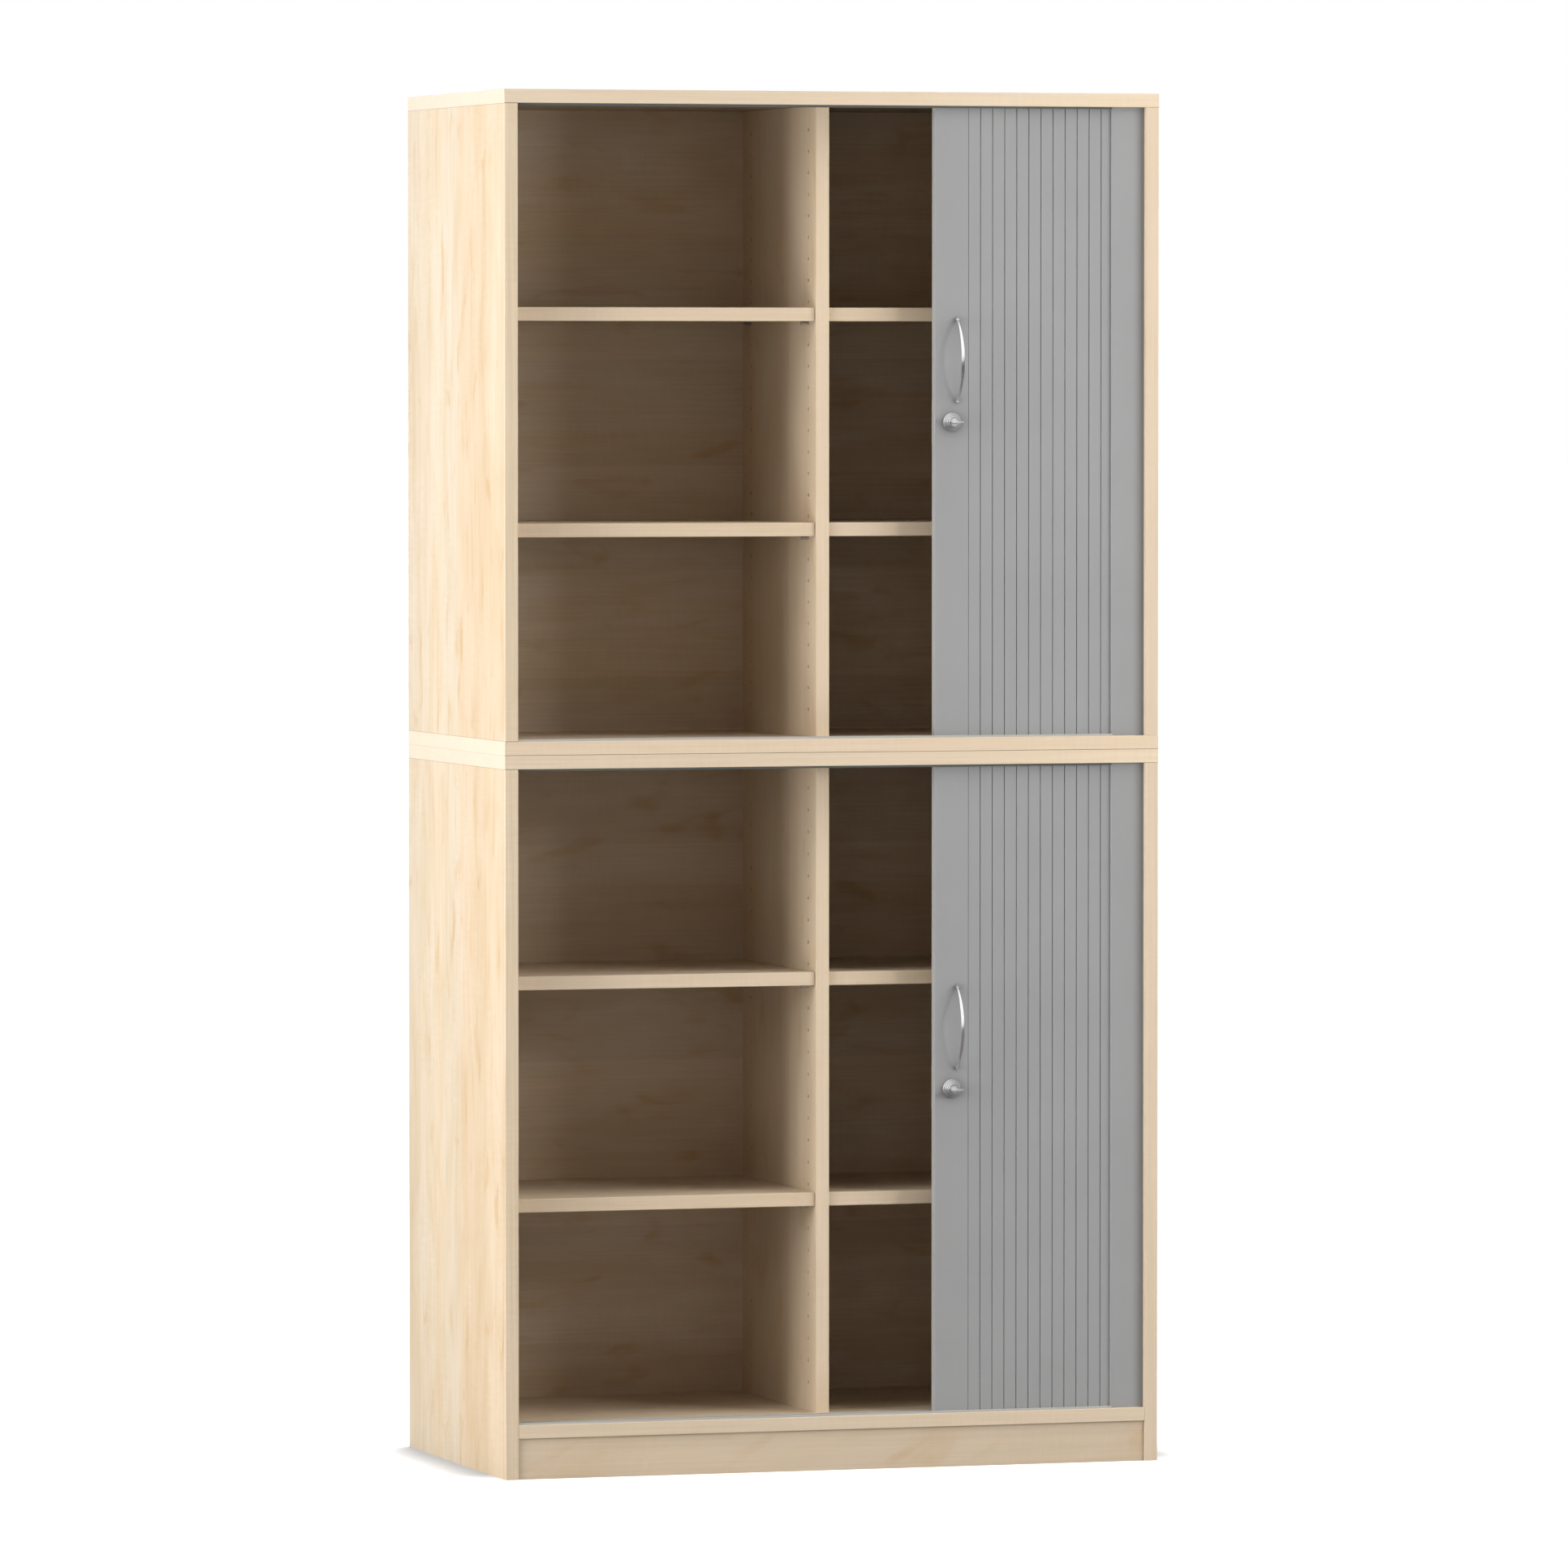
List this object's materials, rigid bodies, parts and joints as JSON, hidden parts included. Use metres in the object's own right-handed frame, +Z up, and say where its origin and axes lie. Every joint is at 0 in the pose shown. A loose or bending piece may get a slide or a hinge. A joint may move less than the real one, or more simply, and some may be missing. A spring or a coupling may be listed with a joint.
{
  "type": "tambour door cabinet",
  "caption": "Tall storage cabinet of stacked units in light wood decor, each with shelves, a divider and a slatted curtain door that slides behind its side, with bow handle and cylinder lock.",
  "frame": {"origin": "on the floor, under the middle of the overall box", "axes": "+X to the right seen from the front, +Y to the back, +Z up; the doors open towards +X"},
  "size_m": [0.944, 0.524, 1.903],
  "materials": {
    "maple_board": "satin decor, fine grain",
    "maple_back": "satin decor, fine grain",
    "grey_curtain": "matte",
    "track_plastic": "satin",
    "satin_chrome": "satin",
    "key_nickel": "polished",
    "zinc_steel": "zinc plated",
    "beech_dowel": "plain"
  },
  "bodies": {
    "cabinet": {"lower_side_left": "maple_board", "lower_side_right": "maple_board", "lower_top_board": "maple_board", "lower_bottom_board": "maple_board", "lower_back_panel": "maple_back", "lower_inner_back": "maple_back", "lower_cover_panel": "grey_curtain", "lower_divider": "maple_board", "lower_inner_side": "maple_board", "lower_shelf_left_low": "maple_board", "lower_shelf_left_high": "maple_board", "lower_shelf_right_low": "maple_board", "lower_shelf_right_high": "maple_board", "lower_track_bottom": "track_plastic", "lower_track_top": "track_plastic", "lower_slats_fourth": "grey_curtain", "upper_side_left": "maple_board", "upper_side_right": "maple_board", "upper_top_board": "maple_board", "upper_bottom_board": "maple_board", "upper_back_panel": "maple_back", "upper_inner_back": "maple_back", "upper_cover_panel": "grey_curtain", "upper_divider": "maple_board", "upper_inner_side": "maple_board", "upper_shelf_left_low": "maple_board", "upper_shelf_left_high": "maple_board", "upper_shelf_right_low": "maple_board", "upper_shelf_right_high": "maple_board", "upper_track_bottom": "track_plastic", "upper_track_top": "track_plastic", "upper_slats_fourth": "grey_curtain", "plinth_front": "maple_board", "plinth_rear": "maple_board", "shelf_pins": "zinc_steel", "strike_plates": "zinc_steel", "dowels": "beech_dowel", "unit_bolts": "zinc_steel", "back_screws": "zinc_steel"},
    "lower_door": {"lower_door_rail": "grey_curtain", "lower_slats_front": "grey_curtain", "lower_handle": "satin_chrome", "lower_handle_screws": "zinc_steel", "lower_lock_housing": "satin_chrome"},
    "lower_curtain_second": {"lower_slats_second": "grey_curtain"},
    "lower_curtain_third": {"lower_slats_third": "grey_curtain"},
    "lower_lock": {"lower_lock_plug": "satin_chrome"},
    "lower_key": {"lower_key": "key_nickel"},
    "lower_bolt": {"lower_lock_bolt": "zinc_steel"},
    "upper_door": {"upper_door_rail": "grey_curtain", "upper_slats_front": "grey_curtain", "upper_handle": "satin_chrome", "upper_handle_screws": "zinc_steel", "upper_lock_housing": "satin_chrome"},
    "upper_curtain_second": {"upper_slats_second": "grey_curtain"},
    "upper_curtain_third": {"upper_slats_third": "grey_curtain"},
    "upper_lock": {"upper_lock_plug": "satin_chrome"},
    "upper_key": {"upper_key": "key_nickel"},
    "upper_bolt": {"upper_lock_bolt": "zinc_steel"}
  },
  "joints": [
    {"name": "lower_door_slide", "type": "slide", "parent": "cabinet", "child": "lower_door", "axis": [1, 0, 0], "range_m": [-0.6007, 0.026]},
    {"name": "lower_second_slide", "type": "slide", "parent": "cabinet", "child": "lower_curtain_second", "axis": [1, 0, 0], "range_m": [-0.4006, 0.0174]},
    {"name": "lower_third_slide", "type": "slide", "parent": "cabinet", "child": "lower_curtain_third", "axis": [1, 0, 0], "range_m": [-0.2003, 0.0087]},
    {"name": "lower_lock_turn", "type": "hinge", "parent": "lower_door", "child": "lower_lock", "pos_m": [0.173, -0.213, 0.5245], "axis": [0, -1, 0], "range_deg": [0, 90]},
    {"name": "lower_key_pull", "type": "slide", "parent": "lower_lock", "child": "lower_key", "axis": [0, -1, 0], "range_m": [0, 0.03]},
    {"name": "lower_bolt_throw", "type": "slide", "parent": "lower_door", "child": "lower_bolt", "axis": [-1, 0, 0], "range_m": [0, 0.0071]},
    {"name": "upper_door_slide", "type": "slide", "parent": "cabinet", "child": "upper_door", "axis": [1, 0, 0], "range_m": [-0.6007, 0.026]},
    {"name": "upper_second_slide", "type": "slide", "parent": "cabinet", "child": "upper_curtain_second", "axis": [1, 0, 0], "range_m": [-0.4006, 0.0174]},
    {"name": "upper_third_slide", "type": "slide", "parent": "cabinet", "child": "upper_curtain_third", "axis": [1, 0, 0], "range_m": [-0.2003, 0.0087]},
    {"name": "upper_lock_turn", "type": "hinge", "parent": "upper_door", "child": "upper_lock", "pos_m": [0.173, -0.213, 1.448], "axis": [0, -1, 0], "range_deg": [0, 90]},
    {"name": "upper_key_pull", "type": "slide", "parent": "upper_lock", "child": "upper_key", "axis": [0, -1, 0], "range_m": [0, 0.03]},
    {"name": "upper_bolt_throw", "type": "slide", "parent": "upper_door", "child": "upper_bolt", "axis": [-1, 0, 0], "range_m": [0, 0.0071]}
  ],
  "couplings": [
    {"joint": "lower_second_slide", "follows": "lower_door_slide", "ratio": 0.6667},
    {"joint": "lower_third_slide", "follows": "lower_door_slide", "ratio": 0.3333},
    {"joint": "lower_bolt_throw", "follows": "lower_lock_turn", "m_per_rad": 0.0045},
    {"joint": "upper_second_slide", "follows": "upper_door_slide", "ratio": 0.6667},
    {"joint": "upper_third_slide", "follows": "upper_door_slide", "ratio": 0.3333},
    {"joint": "upper_bolt_throw", "follows": "upper_lock_turn", "m_per_rad": 0.0045}
  ]
}
